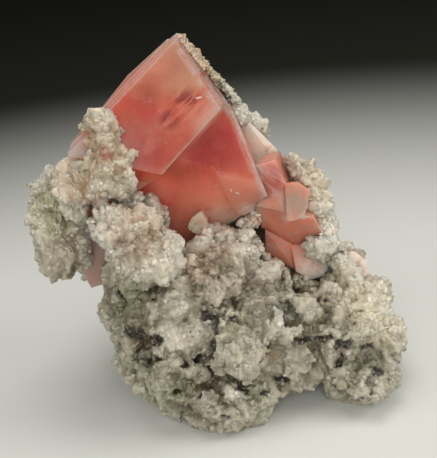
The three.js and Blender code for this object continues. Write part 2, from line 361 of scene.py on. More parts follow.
def move_corners(data, corners):
    data.vertices.foreach_set("co", corners.ravel())
    data.update()


def shade_smooth(data):
    data.polygons.foreach_set("use_smooth", np.ones(len(data.polygons), bool))


def inside_box(corners):
    """The corners, moved to the CAD model's box where they lie outside it."""
    return np.clip(corners, np.array(cad_low), np.array(cad_high))


def rounded(values):
    """Values in millimetres without their last bits, so that every run gives the same."""
    return np.round(values, 4)


def smoothed(values, edges, rounds):
    """Each round moves a value to the mean of itself and its neighbours' mean."""
    count = len(values)
    ends = np.concatenate([edges[:, 0], edges[:, 1]])
    others = np.concatenate([edges[:, 1], edges[:, 0]])
    share = np.bincount(ends, minlength=count).clip(1)
    result = values.copy()
    for _ in range(rounds):
        columns = [np.bincount(ends, result[others, k], count) for k in range(result.shape[1])]
        result = 0.5 * result + 0.5 * np.stack(columns, 1) / share[:, None]
    return result


def store(data, name, values):
    attribute = data.attributes.new(name, "FLOAT", "POINT")
    attribute.data.foreach_set("value", values.astype(np.float32))


# ---------------- matrix
ROCK_VOXEL = 0.22  # size of the mesh's squares
ROCK_TRIANGLES = 197000  # how many triangles the finished mesh keeps
ROCK_SMOOTH_ROUNDS = 5
# width and height of the masses of quartz, the lumps on them and the buds on those
BUMPS = ((4.4, 2.3), (1.9, 1.1), (0.95, 0.45))
SKIN_LEVEL = 0.95  # the skin's mean height, taken off again
FACET_SIZES = ((1.5, 0.3, 0.16), (0.8, 0.25, 0.1))  # grown crystals: width, tilt, step
SKIN_OUT = 0.05  # the whole skin is moved out by this
NORMAL_ROUNDS = 3  # smoothing of the directions that the skin is moved in
WARP_WIDTH = 1.7  # the masses and lumps are bent by waves of this width
WARP_REACH = 0.7
FACET_DRIFT_WIDTH = 0.8  # the borders of the grown crystals are bent too
FACET_DRIFT = 0.25
THICK = 4.0  # rock this thick may be moved in as far as the height says
THIN_SHARE = 0.25  # thinner rock is moved in by at most this share of itself
FOOT_HEIGHT = 0.8  # below this the skin is moved less and less, down to 0
NEAR_ROUNDS = 40  # smoothing over about 1 mm, and over about 3 mm
FAR_ROUNDS = 300
# clefts and pits: the two ends, the half width and the depth
CLEFTS = (
    # under the right crystals
    ((3.5, -5.1, 20.3), (4.6, -6.2, 17.6), 0.7, 1.0),
    ((4.6, -6.2, 17.6), (7.1, -4.0, 15.7), 0.6, 0.9),
    ((7.1, -4.0, 15.7), (9.2, -1.9, 12.8), 0.6, 0.9),
    ((9.2, -1.9, 12.8), (9.3, -1.9, 11.0), 0.5, 0.7),
    ((2.2, -8.4, 18.8), (2.9, -8.8, 18.2), 0.4, 0.6),
    # middle
    ((6.6, -11.4, 13.7), (7.0, -11.4, 13.2), 0.8, 1.2),
    ((-2.4, -13.1, 13.9), (-0.6, -13.1, 13.9), 0.8, 1.1),
    ((-1.2, -13.6, 13.6), (-1.5, -15.0, 12.6), 0.7, 1.2),
    ((2.4, -14.2, 12.4), (3.6, -14.2, 12.2), 0.4, 0.6),
    ((-2.0, -15.1, 10.6), (-2.1, -14.6, 9.4), 0.6, 1.2),
    ((-2.1, -14.6, 9.2), (-4.0, -14.0, 8.8), 0.6, 1.2),
    ((-5.0, -14.6, 9.1), (-5.1, -14.6, 8.5), 0.55, 1.1),
    ((-2.0, -14.2, 8.4), (-2.0, -13.8, 7.2), 0.55, 1.0),
    ((4.6, -14.7, 10.0), (4.8, -14.7, 9.5), 0.45, 1.1),
    ((4.4, -15.2, 9.2), (2.9, -15.9, 8.8), 0.35, 0.6),
    ((7.2, -13.9, 9.7), (9.6, -12.3, 8.5), 0.4, 0.8),
    ((10.0, -12.4, 8.9), (11.6, -13.0, 9.3), 0.6, 1.0),
    # right end
    ((12.4, -13.4, 8.3), (13.6, -13.4, 8.0), 0.75, 1.2),
    ((12.9, -13.0, 7.4), (12.4, -12.6, 5.2), 0.5, 0.9),
    ((15.8, -12.5, 7.1), (16.8, -12.5, 6.9), 0.55, 0.9),
    ((16.3, -14.1, 5.4), (17.1, -13.9, 4.9), 0.75, 1.2),
    ((5.5, -13.5, 4.8), (6.2, -13.5, 4.6), 0.5, 0.9),
    ((11.4, -9.2, 12.5), (12.0, -9.4, 12.2), 0.45, 0.6),
    # lower edge and left
    ((0.9, -15.7, 5.9), (1.6, -15.7, 5.2), 0.5, 0.8),
    ((3.2, -15.2, 4.2), (4.4, -15.0, 4.1), 0.35, 0.6),
    ((-6.6, -15.2, 5.7), (-5.0, -15.4, 5.3), 0.4, 0.7),
    ((-4.8, -15.4, 5.2), (-3.6, -15.4, 4.9), 0.55, 0.9),
    ((-1.8, -17.3, 3.1), (-0.8, -17.5, 2.9), 0.3, 0.4),
    ((-11.3, -11.9, 12.4), (-8.2, -13.8, 11.5), 0.9, 1.6),
    ((-9.0, -13.2, 11.0), (-9.6, -11.9, 8.8), 0.8, 1.2),
    ((-9.0, -11.4, 16.4), (-8.0, -11.4, 16.2), 0.4, 0.6),
    ((-12.6, -8.8, 16.2), (-11.6, -9.4, 15.2), 0.5, 0.7),
    # between the knob, the mound and the left lobe
    ((-10.0, -9.6, 27.6), (-7.8, -8.8, 28.6), 0.45, 0.9),
    ((-14.9, -4.9, 26.0), (-13.6, -5.6, 25.0), 0.7, 1.2),
    ((-17.4, -5.4, 26.6), (-15.6, -5.0, 24.4), 0.4, 0.7),
    ((-10.8, -13.6, 23.9), (-9.4, -13.4, 23.4), 0.5, 0.7),
)
# places where the skin is moved in, clear of the crystals: centre, radius and depth
SHAVES = (
    ((11.4, -4.0, 17.4), 3.0, 0.7),
    ((-5.6, -6.0, 24.0), 2.4, 0.8),
)
CLEFT_SHADE_MOST = 0.75  # painted shade, added to "hollow" in the middle of a cleft
RAGGED_FINE = 0.55  # widths of the fine and the coarse waves in a cleft's edges
RAGGED_COARSE = 1.3
RAGGED_SHARE = 0.45  # how far the waves move the edges


def cleft_depths(places):
    """How deep the named clefts are at each place, in millimetres, and how much painted shade they
    get, from 0 to 1.
    """
    deep = np.zeros(len(places))
    dark = np.zeros(len(places))
    ragged = np.array([noise.noise(Vector(place) / RAGGED_FINE)
                       + 0.8 * noise.noise(Vector(place) / RAGGED_COARSE) for place in places])
    for start, end, half, depth in CLEFTS:
        start, end = np.array(start), np.array(end)
        run = end - start
        share = ((places - start) @ run / max(run @ run, 1e-6)).clip(0, 1)
        away = np.linalg.norm(places - start - share[:, None] * run, axis=1)
        # flat in its middle, and gone a little outside its half width
        away = away * (1 + RAGGED_SHARE * ragged) / (0.9 * half)
        deep = np.maximum(deep, depth * np.clip(1.25 - away ** 2, 0, 1))
        dark = np.maximum(dark, np.clip(1.5 - away, 0, 1))
    return deep, dark


def rock_height(place):
    """How far the skin stands out from the solid at a place, both in millimetres."""
    warped = place + noise.noise_vector(place / WARP_WIDTH) * WARP_REACH
    height = 0.0
    for width, tall in BUMPS:
        height += abs(noise.noise(warped / width + Vector((7, 3, 11)))) * tall
    return height - SKIN_LEVEL


def scattered(cells, seed):
    """Seven random numbers from 0 to 1 for each cell of a grid."""
    x, y, z = cells.astype(np.int64).T
    mixed = x * 73856093 ^ y * 19349663 ^ z * 83492791 ^ seed * 2654435761
    shares = []
    for _ in range(7):
        mixed = (mixed * 6364136223846793005 + 1442695040888963407) & (2 ** 62 - 1)
        shares.append((mixed >> 30) % 65536 / 65536)
    return np.stack(shares, 1)


def facet_heights(places, width, tilt, step, seed):
    """Heights of a skin of small crystals, each with one tilted face of its own."""
    corner = np.floor(places / width - 0.5)
    best = np.full(len(places), 1e9)
    heights = np.zeros(len(places))
    for offset in np.ndindex(2, 2, 2):
        cells = corner + np.array(offset)
        shares = scattered(cells, seed)
        away = places - (cells + 0.2 + 0.6 * shares[:, :3]) * width
        distance = np.linalg.norm(away, axis=1)
        plane = (away * (shares[:, 3:6] - 0.5)).sum(1) * 2 * tilt + (shares[:, 6] - 0.5) * step
        closer = distance < best
        best = np.where(closer, distance, best)
        heights = np.where(closer, plane, heights)
    return heights


def keep_largest_part(data):
    """Deletes the small loose parts of a mesh."""
    edges = edges_of(data)
    label = np.arange(len(data.vertices))
    while True:
        low = np.minimum(label[edges[:, 0]], label[edges[:, 1]])
        lower = label.copy()
        np.minimum.at(lower, edges[:, 0], low)
        np.minimum.at(lower, edges[:, 1], low)
        lower = lower[lower]
        if (lower == label).all():
            break
        label = lower
    largest = np.bincount(label).argmax()
    with edited(data) as mesh:
        mesh.verts.ensure_lookup_table()
        loose = [mesh.verts[k] for k in np.flatnonzero(label != largest)]
        bmesh.ops.delete(mesh, geom=loose, context="VERTS")


def thickness_of(data, corners, normals):
    """How thick the rock is under each corner, in millimetres, up to THICK."""
    tree = BVHTree.FromPolygons(corners.tolist(), triangles_of(data).tolist())
    starts = corners - normals * JUST_OFF * MM
    depths = np.full(len(corners), THICK)
    for k, (start, normal) in enumerate(zip(starts, normals)):
        depth = tree.ray_cast(start, -normal, THICK * MM)[3]
        if depth is not None:
            depths[k] = depth / MM
    return depths


def skin_heights(data, corners, normals):
    """How far each corner moves outwards, in millimetres, and how much painted shade its cleft
    gets.
    """
    places = corners / MM
    heights = np.array([rock_height(Vector(place)) for place in places]) + SKIN_OUT
    drift = [noise.noise_vector(Vector(place) / FACET_DRIFT_WIDTH) for place in places]
    drift = np.array(drift) * FACET_DRIFT
    for number, (width, tilt, step) in enumerate(FACET_SIZES):
        heights += facet_heights(places + drift, width, tilt, step, number)
    deep, dark = cleft_depths(places)
    heights -= deep
    for centre, radius, depth in SHAVES:
        away = np.linalg.norm(places - np.array(centre), axis=1) / radius
        heights -= depth * np.clip(1 - away ** 2, 0, 1)
    # where the rock is thin, its two sides may not pass through each other
    deepest = THIN_SHARE * thickness_of(data, corners, normals)
    heights = np.maximum(heights, -deepest)
    return heights * np.clip(places[:, 2] / FOOT_HEIGHT, 0, 1), dark


def make_rock():
    rock = copied_node("matrix", "quartz_matrix")
    remesh = rock.modifiers.new("remesh", "REMESH")
    remesh.mode = "VOXEL"
    remesh.voxel_size = ROCK_VOXEL * MM
    apply_modifiers(rock)
    data = rock.data
    keep_largest_part(data)
    edges = edges_of(data)
    corners = rounded(smoothed(corners_of(data), edges, ROCK_SMOOTH_ROUNDS) / MM) * MM
    move_corners(data, corners)
    normals = smoothed(normals_of(data), edges, NORMAL_ROUNDS)
    normals /= np.linalg.norm(normals, axis=1, keepdims=True).clip(1e-9)
    heights, dark = skin_heights(data, corners, normals)
    moved = corners + normals * (heights * MM)[:, None]
    moved = inside_box(rounded(moved / MM) * MM)
    move_corners(data, moved)
    # how deep a point lies in a crevice, against the skin smoothed a little and a lot; the clefts
    # add their painted shade to the first
    near = smoothed(moved, edges, NEAR_ROUNDS)
    far = smoothed(near, edges, FAR_ROUNDS)
    for name, skin, more in (("hollow", near, CLEFT_SHADE_MOST * dark), ("wide", far, 0.0)):
        store(data, name, rounded(((skin - moved) * normals).sum(1) / MM + more))
    thinned = rock.modifiers.new("thinned", "DECIMATE")
    thinned.ratio = ROCK_TRIANGLES / (2 * len(data.polygons))
    apply_modifiers(rock)
    shade_smooth(rock.data)
    move_corners(rock.data, inside_box(corners_of(rock.data)))
    return rock


# ---------------- quartz grains
GRAIN_COUNT = 36000
GRAIN_SPACING = 0.36  # at most one grain in each cube of this size
GRAIN_PIECES = 4
SUGARY_WIDTH = 3.6  # places with many grains and smoother places take turns
SUGARY_FROM = -0.25  # the noise above which a place has all its grains
SMOOTHER_SHARE = 0.4  # the share of the grains that the smoother places keep
BIG_QUARTZ_COUNT = 260
BIG_QUARTZ_SPACING = 1.1
CRUST_COUNT = 1500
EDGE_CRUST_COUNT = 420
LINE_SPREAD = 0.5  # how far crystals lie from their line, in its half widths
UNEVEN = 0.12  # how far the corners of a crystal lie out of place
# line of the crust at the octahedron's upper right edge, with its half width
EDGE_CRUST = (
    ((-1.5, 2.2, 42.6), 0.3), ((-1.1, 2.2, 42.0), 0.5), ((-0.5, 1.9, 41.2), 0.6),
    ((0.1, 1.9, 40.2), 0.8), ((0.9, 1.9, 39.1), 0.8), ((1.6, 1.6, 37.9), 0.6),
    ((2.5, 1.3, 36.6), 0.5), ((3.2, 1.0, 35.4), 0.5))
# the same for clusters of crystals, with each cluster's name, count and the way it faces
CLUSTERS = (
    ("quartz_right_cluster", 260, (0.3, -0.8, 0.5), (
        ((11.6, -1.7, 22.8), 0.5), ((12.5, -1.4, 21.2), 0.6), ((13.0, -1.6, 19.8), 0.6),
        ((13.2, -2.7, 18.2), 0.6))),
    ("quartz_foot_cluster", 160, (0.0, -0.8, 0.6), (
        ((3.4, -3.4, 20.6), 0.5), ((4.9, -3.1, 20.9), 0.7), ((4.8, -3.2, 21.8), 0.4))),
    ("quartz_low_cluster", 160, (0.2, -0.8, 0.6), (
        ((9.4, -4.1, 12.8), 0.5), ((10.9, -4.6, 11.9), 0.6))),
    ("quartz_left_cluster", 220, (-0.2, -0.8, 0.6), (
        ((-10.7, -5.6, 25.8), 0.6), ((-9.5, -5.7, 25.8), 0.7), ((-8.5, -5.6, 26.2), 0.4))),
)
# the front of the block at the octahedron's foot, and the way to its back
FOOT_CRYSTAL = ((-3.4, -4.7, 21.3), (-2.8, -5.2, 22.7), (-1.6, -5.2, 23.4),
                (-1.0, -4.7, 21.8), (-1.3, -4.3, 20.3), (-2.6, -4.3, 20.3))
FOOT_CRYSTAL_DEEP = Vector((0.3, 1.9, -0.3))
FOOT_BEVEL = 0.12
HEXAGON = [(math.cos(math.radians(60 * k)), math.sin(math.radians(60 * k))) for k in range(6)]


def pointed_crystal():
    """A six-sided crystal with a point at each end, two units wide."""
    corners = [(x, y, 0.35) for x, y in HEXAGON] + [(0, 0, 1.3), (0, 0, -0.9)]
    faces = [(k, (k + 1) % 6, 6) for k in range(6)] + [((k + 1) % 6, k, 7) for k in range(6)]
    return np.array(corners), np.array(faces)


def blocky_crystal():
    """An uneven block, two units wide."""
    corners = [(-1, -1, -0.8), (1, -0.9, -0.8), (0.9, 1, -0.8), (-0.9, 0.9, -0.8),
               (-0.8, -0.7, 0.7), (0.7, -0.8, 0.9), (0.8, 0.6, 0.6), (-0.6, 0.8, 0.8)]
    faces = [(0, 2, 1), (0, 3, 2), (4, 5, 6), (4, 6, 7), (0, 1, 5), (0, 5, 4),
             (1, 2, 6), (1, 6, 5), (2, 3, 7), (2, 7, 6), (3, 0, 4), (3, 4, 7)]
    return np.array(corners), np.array(faces)


def prism_crystal():
    """A six-sided prism that ends in a blunt point, two units wide."""
    corners = [(x, y, z) for z in (-0.8, 0.6) for x, y in HEXAGON] + [(0.1, 0.05, 1.5)]
    faces = []
    for k in range(6):
        after = (k + 1) % 6
        faces += [(k, after, 6 + after), (k, 6 + after, 6 + k), (6 + k, 6 + after, 12)]
    faces += [(0, k + 1, k) for k in range(1, 5)]
    return np.array(corners), np.array(faces)


# how crystals grow: their shapes, the smallest and largest half width, how far they lean from
# the way the skin faces, how far they are drawn out, and how many half widths deep they sit
POINTS_AND_BLOCKS = (pointed_crystal(), blocky_crystal())
PRISMS_AND_BLOCKS = (prism_crystal(), blocky_crystal())
GRAIN_GROWTH = (POINTS_AND_BLOCKS, (0.12, 0.34), 0.8, (0.8, 1.3), 0.6)
BIG_GROWTH = (PRISMS_AND_BLOCKS, (0.42, 0.85), 0.9, (0.7, 1.0), 0.6)
CRUST_GROWTH = (POINTS_AND_BLOCKS, (0.2, 0.5), 0.5, (0.8, 1.3), 0.3)
EDGE_GROWTH = (POINTS_AND_BLOCKS, (0.22, 0.52), 0.6, (0.8, 1.1), 0.1)
CLUSTER_GROWTH = (POINTS_AND_BLOCKS, (0.22, 0.56), 0.6, (0.8, 1.1), 0.1)


def random_turns(random, axes, lean):
    """Rotation matrices that stand each crystal near its axis, leaning by up to about lean."""
    count = len(axes)
    up = axes + random.normal(0, lean, (count, 3))
    up /= np.linalg.norm(up, axis=1, keepdims=True)
    side = np.cross(up, random.normal(0, 1, (count, 3)))
    side /= np.linalg.norm(side, axis=1, keepdims=True)
    return np.stack([side, np.cross(up, side), up], 2)


def crystals_mesh(name, random, growth, points, axes, depths=(0.0, 0.0)):
    """One mesh of many small crystals. Each takes one of the shapes of that growth."""
    shapes, (small, large), lean, stretch, sink = growth
    count = len(points)
    axes = np.broadcast_to(axes, (count, 3))
    depths = np.broadcast_to(depths, (count, 2))
    sizes = (small + (large - small) * random.random(count) ** 2) * MM
    turns = random_turns(random, axes, lean)
    kinds = random.integers(0, len(shapes), count)
    long = random.uniform(*stretch, count)
    centres = points - axes * (sizes * sink)[:, None]
    all_corners, all_faces, owners = [], [], []
    offset = 0
    for kind, (corners, faces) in enumerate(shapes):
        chosen = np.flatnonzero(kinds == kind)
        shape = np.repeat(corners[None], len(chosen), 0)
        shape = shape * (1 + random.normal(0, UNEVEN, shape.shape))
        shape[:, :, 2] *= long[chosen, None]
        shape *= sizes[chosen, None, None]
        placed = np.einsum("nij,nkj->nki", turns[chosen], shape) + centres[chosen, None, :]
        starts = offset + np.arange(len(chosen)) * len(corners)
        all_corners.append(placed.reshape(-1, 3))
        all_faces.append((starts[:, None, None] + faces[None]).reshape(-1, 3))
        owners.append(np.repeat(chosen, len(corners)))
        offset += len(chosen) * len(corners)
    corners = inside_box(np.concatenate(all_corners))
    faces = np.concatenate(all_faces)
    owners = np.concatenate(owners)  # which crystal each corner belongs to
    data = bpy.data.meshes.new(name)
    data.from_pydata(corners.tolist(), [], faces.tolist())
    shade_smooth(data)
    store(data, "hollow", depths[owners, 0])
    store(data, "wide", depths[owners, 1])
    skin = data.attributes.new("skin", "FLOAT_VECTOR", "POINT")
    skin.data.foreach_set("vector", axes[owners].astype(np.float32).ravel())
    return new_object(name, data)


def facing_of(corners, triangles):
    """The way each triangle faces, as long as twice its area."""
    a, b, c = (corners[triangles[:, k]] for k in range(3))
    return np.cross(b - a, c - a)


def points_on(random, corners, triangles):
    """A random point on each of the triangles."""
    count = len(triangles)
    a, b, c = (corners[triangles[:, k]] for k in range(3))
    u, v = random.random(count), random.random(count)
    u, v = np.where(u + v > 1, 1 - u, u), np.where(u + v > 1, 1 - v, v)
    return a * (1 - u - v)[:, None] + b * u[:, None] + c * v[:, None]


def skin_points(random, data, count, spacing):
    """Points spread over the skin of a mesh, with their normals and crevice depths."""
    corners = corners_of(data)
    triangles = triangles_of(data)
    area = np.linalg.norm(facing_of(corners, triangles), axis=1)
    chosen = triangles[random.choice(len(area), count * 2, p=area / area.sum())]
    points = points_on(random, corners, chosen)
    cubes = np.floor(points / (spacing * MM)).astype(np.int64)
    _, first = np.unique(cubes, axis=0, return_index=True)
    first = np.sort(first)[:count]
    corner = chosen[first, 0]
    depths = [numbers_of(data.attributes[name].data, "value", 1) for name in ("hollow", "wide")]
    return points[first], normals_of(data)[corner], np.hstack(depths)[corner]


def crust_points(random):
    """Points on the flat crust behind the octahedron."""
    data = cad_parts["matrix"].data
    corners = corners_of(data)
    triangles = triangles_of(data)
    facing = facing_of(corners, triangles)
    area = np.linalg.norm(facing, axis=1).clip(1e-12)
    facing /= area[:, None]
    up = np.array(CRUSTED)
    heights = (corners[triangles[:, 0]] / MM - np.array(OCTAHEDRON_CENTRE)) @ up
    flat = (facing @ up > 0.999) & (abs(heights - CRUST_HEIGHT) < 0.1)
    chosen = random.choice(np.flatnonzero(flat), CRUST_COUNT, p=area[flat] / area[flat].sum())
    return points_on(random, corners, triangles[chosen])


def line_points(random, line, count):
    """Points around a line, which is given as places and half widths. All in millimetres."""
    places = np.array([place for place, _ in line])
    widths = np.array([width for _, width in line])
    along = random.random(count) * (len(line) - 1)
    ends = range(len(line))
    points = np.stack([np.interp(along, ends, places[:, k]) for k in range(3)], 1)
    spread = random.normal(0, LINE_SPREAD, points.shape)
    return points + spread * np.interp(along, ends, widths)[:, None]


def make_crust():
    random = np.random.default_rng(5)
    points = crust_points(random)
    return crystals_mesh("quartz_crust", random, CRUST_GROWTH, points, CRUSTED)


def make_edge_crust():
    """The crust on the octahedron's skin around its upper right edge."""
    random = np.random.default_rng(11)
    tree = tree_of("fluorite_main")
    places = line_points(random, EDGE_CRUST, EDGE_CRUST_COUNT)
    hits = [tree.find_nearest(Vector(place) * MM) for place in places]
    points = np.array([hit[0] for hit in hits])
    axes = np.array([hit[1] for hit in hits])
    return crystals_mesh("quartz_edge_crust", random, EDGE_GROWTH, points, axes)


def make_cluster(name, count, facing, line):
    """Quartz crystals grown together around a line, where the masses leave a gap."""
    random = np.random.default_rng(21)
    points = line_points(random, line, count) * MM
    axis = Vector(facing).normalized()
    return crystals_mesh(name, random, CLUSTER_GROWTH, points, axis)


def make_foot_crystal():
    """The small pale block at the foot of the octahedron."""
    front = [Vector(corner) for corner in FOOT_CRYSTAL]
    corners = front + [corner + FOOT_CRYSTAL_DEEP for corner in front]
    count = len(front)
    faces = [tuple(range(count)), tuple(range(2 * count - 1, count - 1, -1))]
    faces += [(k, k + count, (k + 1) % count + count, (k + 1) % count) for k in range(count)]
    data = bpy.data.meshes.new("foot_crystal")
    data.from_pydata([corner * MM for corner in corners], [], faces)
    with edited(data) as mesh:
        bmesh.ops.recalc_face_normals(mesh, faces=mesh.faces)
        bmesh.ops.bevel(mesh, geom=mesh.edges, offset=FOOT_BEVEL * MM, segments=2,
                        affect="EDGES")
    return new_object("foot_crystal", data)


def make_grains(rock):
    random = np.random.default_rng(7)
    points, axes, depths = skin_points(random, rock.data, GRAIN_COUNT, GRAIN_SPACING)
    sugary = np.array([noise.noise(Vector(point) / MM / SUGARY_WIDTH) for point in points])
    kept = (sugary > SUGARY_FROM) | (random.random(len(points)) < SMOOTHER_SHARE)
    points, axes, depths = points[kept], axes[kept], depths[kept]
    order = np.argsort(points[:, 2], kind="stable")
    return [crystals_mesh(f"quartz_grains_{number}", random, GRAIN_GROWTH, points[part],
                          axes[part], depths[part])
            for number, part in enumerate(np.array_split(order, GRAIN_PIECES), 1)]


def make_big_quartz(rock):
    random = np.random.default_rng(19)
    skin = skin_points(random, rock.data, BIG_QUARTZ_COUNT, BIG_QUARTZ_SPACING)
    return crystals_mesh("quartz_crystals", random, BIG_GROWTH, *skin)


# ---------------- quartz material
QUARTZ_INDEX = 1.54
QUARTZ_SCATTER = (1.0, 0.92, 0.8)  # how far red, green and blue light go, against each other
QUARTZ_WHITE = (218, 208, 186)
# the colour of the lower half, darkened by painted shade
QUARTZ_LOW_SHADE = (148, 142, 116)
QUARTZ_MILK = (234, 224, 204)
CHLORITE = (66, 66, 40)
CHLORITE_PALE = (136, 134, 90)
# painted shade for the crevices: dark brown, and dark green where the chlorite patches are
CREVICE_SHADE = (62, 50, 36)
CREVICE_SHADE_GREEN = (42, 42, 30)
SHADE_BROWN = (112, 98, 74)
IRON_STAIN = (132, 96, 60)
CAVE_BROWN = (104, 76, 50)
# centre, radius, share and colour of the zones of the matrix
QUARTZ_ZONES = (
    ((-11.5, -8.0, 33.0), 7.0, 1.0, (197, 165, 128)),
    ((-14.0, -8.0, 30.0), 5.0, 1.0, (214, 180, 144)),
    ((17.5, -7.0, 10.5), 7.5, 1.0, (236, 224, 194)),
    ((-8.5, -11.5, 24.5), 5.0, 1.0, (200, 171, 142)),
    ((-1.0, -11.0, 18.5), 5.0, 1.0, (140, 110, 80)),
    ((3.8, -10.5, 16.5), 4.0, 0.8, (140, 126, 104)),
    ((0.8, -10.0, 18.6), 3.4, 0.7, (118, 94, 66)),
    ((-18.6, -5.5, 24.5), 4.2, 0.8, (234, 228, 192)),
    ((-11.0, -10.0, 14.0), 7.0, 0.8, (116, 108, 80)),
    ((-3.0, -15.0, 5.0), 6.5, 0.9, (98, 88, 60)),
    ((12.0, 0.0, 24.0), 6.0, 1.0, (208, 187, 158)),
    ((14.5, -2.0, 16.0), 5.0, 1.0, QUARTZ_MILK),
    ((5.5, 6.0, 32.5), 5.0, 1.0, (255, 240, 222)),
    ((-1.5, 1.2, 42.5), 1.8, 1.0, (190, 144, 118)),
    ((1.0, 1.0, 38.2), 2.2, 0.9, (226, 216, 178)),
    ((0.6, 1.6, 40.4), 4.5, 1.0, (198, 168, 136)),
    ((-2.2, -5.9, 21.8), 1.8, 0.9, (206, 154, 128)),
    ((-5.4, -13.3, 12.0), 3.2, 0.8, QUARTZ_MILK),
    ((6.0, -13.0, 11.8), 1.6, 0.9, QUARTZ_MILK),
    ((-0.4, -16.4, 5.0), 2.0, 0.9, QUARTZ_MILK),
    ((-19.0, -6.5, 20.0), 5.0, 0.9, (142, 125, 94)),
)
# the same for the green and brown places
STAIN_ZONES = (
    ((-19.0, -5.0, 27.0), 3.4, 0.8, (126, 124, 76)),
    ((-11.0, -10.5, 17.5), 4.2, 0.8, CHLORITE_PALE),
    ((-7.1, -11.9, 18.0), 1.6, 0.8, CHLORITE_PALE),
    ((-7.0, -14.0, 6.5), 4.5, 0.6, CHLORITE_PALE),
    ((16.5, -13.4, 6.0), 2.6, 0.8, CHLORITE),
    ((6.8, -11.4, 13.4), 1.5, 0.7, CHLORITE),
    ((11.8, -9.4, 12.4), 1.3, 0.8, IRON_STAIN),
    ((-9.9, -12.6, 11.6), 2.4, 1.0, CAVE_BROWN),
    ((4.8, -14.8, 9.0), 2.2, 0.5, IRON_STAIN),
    ((12.6, -13.2, 7.4), 1.8, 0.8, CAVE_BROWN),
    ((-10.4, -13.8, 23.8), 1.4, 0.9, (140, 84, 66)),
    ((-10.8, -10.7, 33.2), 1.3, 0.8, (204, 112, 92)),
    ((-12.6, -10.6, 27.0), 1.5, 0.8, (120, 52, 44)),
    ((3.6, -5.8, 19.4), 0.9, 0.8, (70, 48, 36)),
    ((4.8, -3.2, 20.6), 1.9, 0.9, (176, 124, 102)),
    ((-8.8, -5.7, 27.0), 0.9, 0.8, CHLORITE),
    ((-14.2, -5.2, 25.4), 1.6, 0.7, (96, 84, 50)),
    ((-18.0, -5.5, 17.5), 1.4, 0.8, IRON_STAIN),
    ((9.0, 3.0, 27.0), 1.6, 0.9, (150, 108, 52)),
)


def quartz_material(name, roughness, clear, deep, grainy):
    s = Shader(name)
    warped = s.warped()
    # painted shade: the lower half is greyer and darker, the upper parts and the crusts are paler
    height = s.math("ADD", s.along((0, 0, 1)), s.times(s.cloud(5.0, 2.0), 6.0))
    colour = s.mix(s.ramp(height, 14.0, 24.0, 1.0, 0.0), QUARTZ_WHITE, QUARTZ_LOW_SHADE)
    colour = s.zoned(colour, QUARTZ_ZONES, 0.35, warped)
    # parts that stand out are paler: partly milky quartz, partly painted light on their tops
    wide = s.value("wide")
    colour = s.mix(s.ramp(wide, -0.8, 0.2, 0.42, 0.0), colour, QUARTZ_MILK)
    fine = s.ramp(s.cloud(0.9, 3.0, 0.6), 0.4, 0.62)
    colour = s.zoned(colour, STAIN_ZONES, 0.3, warped, s.math("ADD", 0.55, s.times(fine, 0.45)))
    # green patches and specks
    patches = s.ramp(s.cloud(4.2, 4.0, 0.62), 0.5, 0.64)
    colour = s.tinted(colour, CHLORITE_PALE, s.times(patches, fine), 0.6)
    specks = s.times(patches, s.ramp(s.cloud(0.55, 2.0), 0.58, 0.66))
    colour = s.tinted(colour, CHLORITE, specks, 0.7)
    # painted shade: dips and crevices are darker, and green in the chlorite patches
    colour = s.tinted(colour, SHADE_BROWN, s.ramp(wide, 0.15, 1.0), 0.65)
    crevice_shade_tint = s.mix(patches, CREVICE_SHADE, CREVICE_SHADE_GREEN)
    colour = s.tinted(colour, crevice_shade_tint, s.ramp(s.value("hollow"), 0.32, 0.85), 0.95)
    # each small crystal is a little paler or darker
    faces, tone = s.facets(0.55, 0.3)
    if grainy:
        tone = s.ramp(s.geometry("Random Per Island"), 0.0, 1.0)
    shade = s.math("ADD", s.times(tone, 0.12), 0.92)
    colour = s.mix(1.0, colour, shade, "MULTIPLY")
    s.set(Base_Color=colour, Roughness=roughness, IOR=QUARTZ_INDEX, Transmission_Weight=clear)
    s.set(Coat_Weight=0.4, Coat_Roughness=0.15)
    s.set(Subsurface_Weight=0.9, Subsurface_Radius=QUARTZ_SCATTER, Subsurface_Scale=deep * MM)
    if grainy:
        s.set(Normal=s.softened("skin", 0.5))
    else:
        sparkle, _ = s.facets(0.4, 0.6)
        s.set(Coat_Normal=sparkle, Normal=s.bump(s.cloud(0.3, 3.0), 0.07 * MM, 0.7, faces))
    return s.material


# ---------------- fluorite
FLUORITE_INDEX = 1.434
FLUORITE_SCATTER = (1.0, 0.6, 0.5)
FLUORITE_ROUGH = 0.3
CRYSTAL_JOIN = 2e-6  # corners of a crystal this close, in metres, are one corner
EDGE_WIDTH = 0.1  # of the bevel that stands for the worn edges
EDGE_ANGLE = math.radians(18)  # sharper corners than this are edges
FLAT_ANGLE = math.radians(1.0)  # faces that lie flatter than this are joined
CLOSE_REACH = 1.1  # corners of a crystal this near to its neighbour are moved onto it
CORAL = (188, 84, 64)
CORAL_DEEP = (184, 64, 60)
CORAL_PEACH = (214, 142, 114)
# painted light: lighter coral for the lower faces, standing in for light that shines out through
# them
CORAL_PAINTED_GLOW = (255, 142, 116)
VEIN = (138, 44, 46)
BAND_PINK = (224, 160, 140)
RIDGE_DEEP = (150, 44, 40)
LAYER_PINK = (222, 134, 114)
FROST = (232, 206, 190)
FROST_MAUVE = (188, 150, 138)
SALMON = (222, 140, 116)
# mauve, made darker and duller by painted shade for the left crystal, which sits in shadow
MAUVE_SHADED = (172, 144, 134)
PALE = (244, 222, 208)
DARK_RED = (150, 66, 58)
CORAL_EDGE = (190, 88, 70)
SALMON_EDGE = (226, 172, 152)
PALE_EDGE = (222, 196, 180)
# the colour of the light that gets through the crystals, as the shader wants it
CORAL_CLEAR = (0.97, 0.45, 0.38, 1.0)
SALMON_CLEAR = (0.96, 0.55, 0.48, 1.0)
PALE_CLEAR = (0.95, 0.75, 0.68, 1.0)
MAUVE_CLEAR = (0.85, 0.45, 0.42, 1.0)
